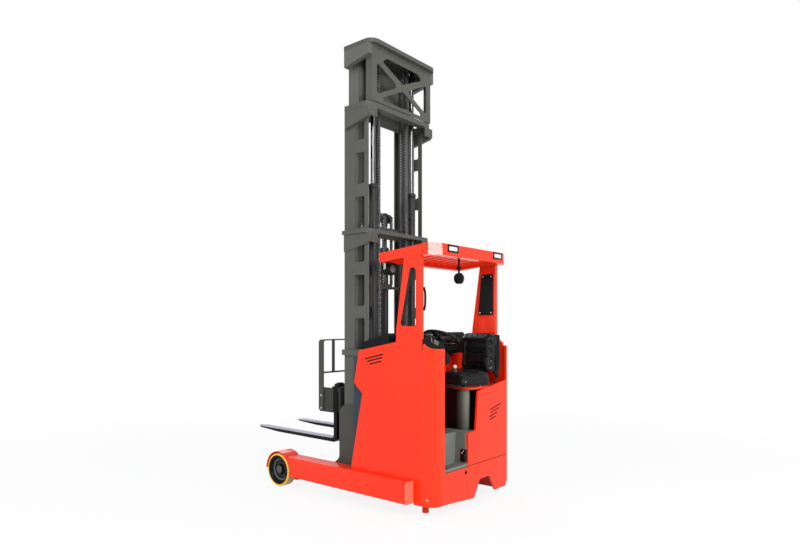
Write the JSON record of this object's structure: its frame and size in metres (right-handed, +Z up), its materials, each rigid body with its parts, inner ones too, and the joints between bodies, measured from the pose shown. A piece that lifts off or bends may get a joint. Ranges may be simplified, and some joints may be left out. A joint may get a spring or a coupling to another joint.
{
  "type": "reach truck",
  "caption": "Electric reach truck with support legs, a side-facing seat under an overhead guard, and a three-stage mast that reaches, lifts, tilts and side-shifts its forks.",
  "frame": {"origin": "on the floor, below the middle of the truck's bounding box", "axes": "+X towards the fork tips, +Y to the truck's left, +Z up"},
  "size_m": [2.5149, 1.27, 4.045],
  "materials": {
    "body_red": "gloss",
    "mast_grey": "satin",
    "carriage_black": "satin",
    "slate_paint": "satin",
    "step_grey": "satin",
    "black_plastic": "matte",
    "gloss_black": "gloss",
    "black_vinyl": "satin",
    "yellow_tyre": "satin",
    "black_tyre": "matte",
    "rim_black": "satin",
    "chrome_rod": "polished",
    "cylinder_steel": "satin",
    "fork_steel": "satin",
    "lamp": "gloss"
  },
  "bodies": {
    "chassis": {"left_leg": "body_red", "right_leg": "body_red", "chassis_frame": "body_red", "battery": "slate_paint", "left_side_panel": "body_red", "right_side_panel": "body_red", "rear_left_corner": "body_red", "rear_panel": "body_red", "rear_skirt": "body_red", "front_hood": "black_plastic", "step_floor": "step_grey", "seat_base": "gloss_black", "seat_deck": "body_red", "seat_frame": "carriage_black", "seat_cushion": "black_vinyl", "seat_backrest": "black_vinyl", "steering_console": "black_plastic", "control_console": "black_plastic", "left_pillar": "body_red", "right_pillar": "body_red", "pillar_cover": "black_plastic", "guard_frame": "body_red", "guard_slats": "body_red", "rear_lights": "lamp", "guard_lamps": "black_plastic"},
    "left_load_wheel": {"left_load_tyre": "yellow_tyre", "left_load_rim": "rim_black"},
    "right_load_wheel": {"right_load_tyre": "yellow_tyre", "right_load_rim": "rim_black"},
    "drive_unit": {"drive_unit": "carriage_black"},
    "drive_wheel": {"drive_tyre": "black_tyre", "drive_rim": "rim_black"},
    "steering_wheel": {"steering_wheel": "black_plastic"},
    "reach": {"reach_carriage": "mast_grey", "reach_rod": "chrome_rod", "outer_mast_left": "mast_grey", "outer_mast_right": "mast_grey", "outer_mast_brackets": "mast_grey", "lift_cylinders": "cylinder_steel"},
    "middle_stage": {"middle_mast_left": "mast_grey", "middle_mast_right": "mast_grey", "middle_mast_bars": "mast_grey", "mast_head_brace": "mast_grey", "lift_rods": "chrome_rod"},
    "inner_stage": {"inner_mast_left": "mast_grey", "inner_mast_right": "mast_grey", "inner_mast_bars": "mast_grey", "free_lift_cylinder": "cylinder_steel"},
    "free_lift_head": {"free_lift_head": "cylinder_steel"},
    "lift_carriage": {"lift_carriage": "mast_grey"},
    "tilt_rod": {"tilt_rod": "chrome_rod"},
    "tilt_frame": {"tilt_frame": "mast_grey"},
    "side_shift": {"fork_carriage": "mast_grey", "load_backrest": "mast_grey", "left_fork": "fork_steel", "right_fork": "fork_steel"}
  },
  "joints": [
    {"name": "left_load_wheel_spin", "type": "hinge", "parent": "chassis", "child": "left_load_wheel", "pos_m": [0.527, 0.585, 0.155], "axis": [0, 1, 0], "continuous": true},
    {"name": "right_load_wheel_spin", "type": "hinge", "parent": "chassis", "child": "right_load_wheel", "pos_m": [0.527, -0.585, 0.155], "axis": [0, 1, 0], "continuous": true},
    {"name": "drive_steer", "type": "hinge", "parent": "chassis", "child": "drive_unit", "pos_m": [-0.98, -0.21, 0.17], "axis": [0, 0, 1], "range_deg": [-90, 90]},
    {"name": "drive_spin", "type": "hinge", "parent": "drive_unit", "child": "drive_wheel", "pos_m": [-0.98, -0.21, 0.17], "axis": [0, 1, 0], "continuous": true},
    {"name": "steering_wheel_turn", "type": "hinge", "parent": "chassis", "child": "steering_wheel", "pos_m": [-1.06, 0.175, 1.43], "axis": [0, -0.4226, 0.9063], "continuous": true},
    {"name": "reach", "type": "slide", "parent": "chassis", "child": "reach", "axis": [1, 0, 0], "range_m": [0, 0.52]},
    {"name": "middle_lift", "type": "slide", "parent": "reach", "child": "middle_stage", "axis": [0, 0, 1], "range_m": [0, 2.6]},
    {"name": "inner_lift", "type": "slide", "parent": "middle_stage", "child": "inner_stage", "axis": [0, 0, 1], "range_m": [0, 2.6]},
    {"name": "fork_lift", "type": "slide", "parent": "inner_stage", "child": "lift_carriage", "axis": [0, 0, 1], "range_m": [-0.38, 2.3]},
    {"name": "free_lift", "type": "slide", "parent": "inner_stage", "child": "free_lift_head", "axis": [0, 0, 1], "range_m": [-0.19, 1.15]},
    {"name": "fork_tilt", "type": "hinge", "parent": "lift_carriage", "child": "tilt_frame", "pos_m": [-0.065, 0, 0.905], "axis": [0, -1, 0], "range_deg": [-2, 4]},
    {"name": "tilt_rod", "type": "slide", "parent": "lift_carriage", "child": "tilt_rod", "axis": [1, 0, 0], "range_m": [-0.012, 0.022]},
    {"name": "side_shift", "type": "slide", "parent": "tilt_frame", "child": "side_shift", "axis": [0, 1, 0], "range_m": [-0.06, 0.06]}
  ],
  "couplings": [
    {"joint": "inner_lift", "follows": "middle_lift", "ratio": 1},
    {"joint": "free_lift", "follows": "fork_lift", "ratio": 0.5},
    {"joint": "tilt_rod", "follows": "fork_tilt", "m_per_rad": 0.295}
  ]
}
